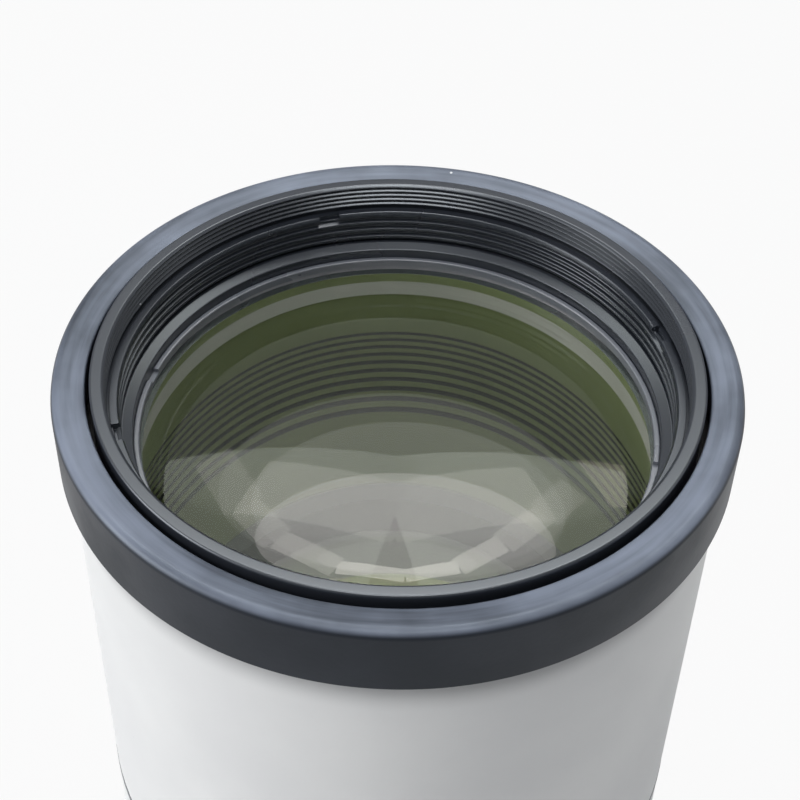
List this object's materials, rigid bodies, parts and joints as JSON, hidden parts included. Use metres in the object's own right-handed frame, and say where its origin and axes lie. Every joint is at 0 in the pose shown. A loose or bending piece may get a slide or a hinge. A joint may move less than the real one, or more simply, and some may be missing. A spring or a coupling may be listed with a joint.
{
  "type": "telephoto lens",
  "caption": "White telephoto camera lens with a sliding hood, ribbed focus ring, switch panel, bayonet mount and a hinged tripod collar with a foot.",
  "frame": {"origin": "on the optical axis, in the plane of the camera mount's flange", "axes": "+Z along the optical axis towards the front, +Y towards the tripod foot, the distance window faces -Y"},
  "size_m": [0.1025, 0.115, 0.262],
  "materials": {
    "white_paint": "fine semi-gloss enamel",
    "black_paint": "satin black, anodised look",
    "black_anodised": "matte black anodised",
    "bare_steel": "fine turned",
    "screw_steel": "zinc plated",
    "contact_gold": "gold plated",
    "grip_rubber": "matte ribbed",
    "bumper_rubber": "satin, lightly scuffed",
    "black_plastic": "fine grained",
    "switch_plastic": "satin",
    "board_green": "solder mask",
    "scale_paint": "matte with plain numbers",
    "trim_metal": "thin satin line",
    "motor_metal": "machined",
    "blade_metal": "dry black coating",
    "brass_metal": "machined",
    "coated_glass": "multi-coated",
    "clear_pane": "clear"
  },
  "bodies": {
    "lens_body": {"mount_plate": "bare_steel", "mount_screws": "screw_steel", "rear_baffle": "black_plastic", "contact_block": "black_plastic", "contact_pins": "contact_gold", "circuit_board": "board_green", "rear_barrel": "white_paint", "rear_cell": "black_anodised", "rear_element_1": "coated_glass", "rear_element_2": "coated_glass", "rear_retainer": "black_anodised", "main_barrel": "white_paint", "distance_window": "clear_pane", "switch_panel": "black_plastic", "panel_screws": "screw_steel", "barrel_ring": "white_paint", "front_barrel": "black_paint", "filter_ring": "black_paint", "front_baffle": "black_paint", "front_cell": "black_paint", "front_retainer": "black_paint", "front_element": "coated_glass", "group_cell": "black_anodised", "element_2": "coated_glass", "element_3": "coated_glass", "group_retainer": "black_anodised", "hood_stop_ring": "black_plastic", "inner_barrel": "black_anodised", "motor_stator": "motor_metal", "iris_housing": "black_anodised"},
    "hood": {"hood_tube": "white_paint", "hood_bumper": "bumper_rubber", "hood_trim_ring": "trim_metal", "hood_slide_ring": "black_plastic"},
    "focus": {"focus_ring": "black_paint", "focus_grip": "grip_rubber"},
    "cam": {"cam_ring": "motor_metal", "distance_scale": "scale_paint"},
    "focus_group": {"focus_cell": "black_anodised", "focus_element": "coated_glass", "focus_retainer": "black_anodised", "cam_followers": "brass_metal"},
    "rotor": {"motor_rotor": "motor_metal"},
    "iris_drive": {"iris_drive_ring": "blade_metal"},
    "collar": {"collar_base": "white_paint", "tripod_bush": "bare_steel", "collar_hinge_pin": "screw_steel"},
    "cap": {"collar_cap": "white_paint"},
    "knob": {"collar_knob": "black_plastic", "collar_screw": "screw_steel"},
    "mode_switch": {"focus_mode_switch": "switch_plastic"},
    "range_switch": {"focus_range_switch": "switch_plastic"},
    "blade_1": {"iris_blade_1": "blade_metal"},
    "blade_2": {"iris_blade_2": "blade_metal"},
    "blade_3": {"iris_blade_3": "blade_metal"},
    "blade_4": {"iris_blade_4": "blade_metal"},
    "blade_5": {"iris_blade_5": "blade_metal"},
    "blade_6": {"iris_blade_6": "blade_metal"},
    "blade_7": {"iris_blade_7": "blade_metal"},
    "blade_8": {"iris_blade_8": "blade_metal"}
  },
  "joints": [
    {"name": "hood_slide", "type": "slide", "parent": "lens_body", "child": "hood", "axis": [0, 0, 1], "range_m": [0, 0.055]},
    {"name": "focus_turn", "type": "hinge", "parent": "lens_body", "child": "focus", "pos_m": [0, 0, 0.142], "axis": [0, 0, 1], "range_deg": [0, 120]},
    {"name": "cam_turn", "type": "hinge", "parent": "lens_body", "child": "cam", "pos_m": [0, 0, 0.118], "axis": [0, 0, 1], "range_deg": [0, 60]},
    {"name": "focus_group_slide", "type": "slide", "parent": "lens_body", "child": "focus_group", "axis": [0, 0, 1], "range_m": [0, 0.012]},
    {"name": "rotor_turn", "type": "hinge", "parent": "lens_body", "child": "rotor", "pos_m": [0, 0, 0.139], "axis": [0, 0, 1], "continuous": true},
    {"name": "iris_turn", "type": "hinge", "parent": "lens_body", "child": "iris_drive", "pos_m": [0, 0, 0.1517], "axis": [0, 0, 1], "range_deg": [0, 32]},
    {"name": "collar_turn", "type": "hinge", "parent": "lens_body", "child": "collar", "pos_m": [0, 0, 0.0405], "axis": [0, 0, 1], "continuous": true},
    {"name": "cap_swing", "type": "hinge", "parent": "collar", "child": "cap", "pos_m": [-0.0404, 0, 0.0405], "axis": [0, 0, -1], "range_deg": [0, 100]},
    {"name": "knob_turn", "type": "hinge", "parent": "cap", "child": "knob", "pos_m": [0.05, -0.012, 0.0405], "axis": [0, -1, 0], "range_deg": [0, 720]},
    {"name": "mode_switch_slide", "type": "slide", "parent": "lens_body", "child": "mode_switch", "axis": [0, 0, 1], "range_m": [0, 0.004]},
    {"name": "range_switch_slide", "type": "slide", "parent": "lens_body", "child": "range_switch", "axis": [0, 0, 1], "range_m": [0, 0.004]},
    {"name": "blade_1_turn", "type": "hinge", "parent": "lens_body", "child": "blade_1", "pos_m": [0.031, 0, 0.149], "axis": [0, 0, 1], "range_deg": [0, 32]},
    {"name": "blade_2_turn", "type": "hinge", "parent": "lens_body", "child": "blade_2", "pos_m": [0.02192, 0.02192, 0.149], "axis": [0, 0, 1], "range_deg": [0, 32]},
    {"name": "blade_3_turn", "type": "hinge", "parent": "lens_body", "child": "blade_3", "pos_m": [0, 0.031, 0.149], "axis": [0, 0, 1], "range_deg": [0, 32]},
    {"name": "blade_4_turn", "type": "hinge", "parent": "lens_body", "child": "blade_4", "pos_m": [-0.02192, 0.02192, 0.149], "axis": [0, 0, 1], "range_deg": [0, 32]},
    {"name": "blade_5_turn", "type": "hinge", "parent": "lens_body", "child": "blade_5", "pos_m": [-0.031, 0, 0.149], "axis": [0, 0, 1], "range_deg": [0, 32]},
    {"name": "blade_6_turn", "type": "hinge", "parent": "lens_body", "child": "blade_6", "pos_m": [-0.02192, -0.02192, 0.149], "axis": [0, 0, 1], "range_deg": [0, 32]},
    {"name": "blade_7_turn", "type": "hinge", "parent": "lens_body", "child": "blade_7", "pos_m": [0, -0.031, 0.149], "axis": [0, 0, 1], "range_deg": [0, 32]},
    {"name": "blade_8_turn", "type": "hinge", "parent": "lens_body", "child": "blade_8", "pos_m": [0.02192, -0.02192, 0.149], "axis": [0, 0, 1], "range_deg": [0, 32]}
  ],
  "couplings": [
    {"joint": "cam_turn", "follows": "focus_turn", "ratio": 0.5},
    {"joint": "focus_group_slide", "follows": "focus_turn", "m_per_rad": 0.0057295},
    {"joint": "blade_1_turn", "follows": "iris_turn", "ratio": 1},
    {"joint": "blade_2_turn", "follows": "iris_turn", "ratio": 1},
    {"joint": "blade_3_turn", "follows": "iris_turn", "ratio": 1},
    {"joint": "blade_4_turn", "follows": "iris_turn", "ratio": 1},
    {"joint": "blade_5_turn", "follows": "iris_turn", "ratio": 1},
    {"joint": "blade_6_turn", "follows": "iris_turn", "ratio": 1},
    {"joint": "blade_7_turn", "follows": "iris_turn", "ratio": 1},
    {"joint": "blade_8_turn", "follows": "iris_turn", "ratio": 1}
  ]
}
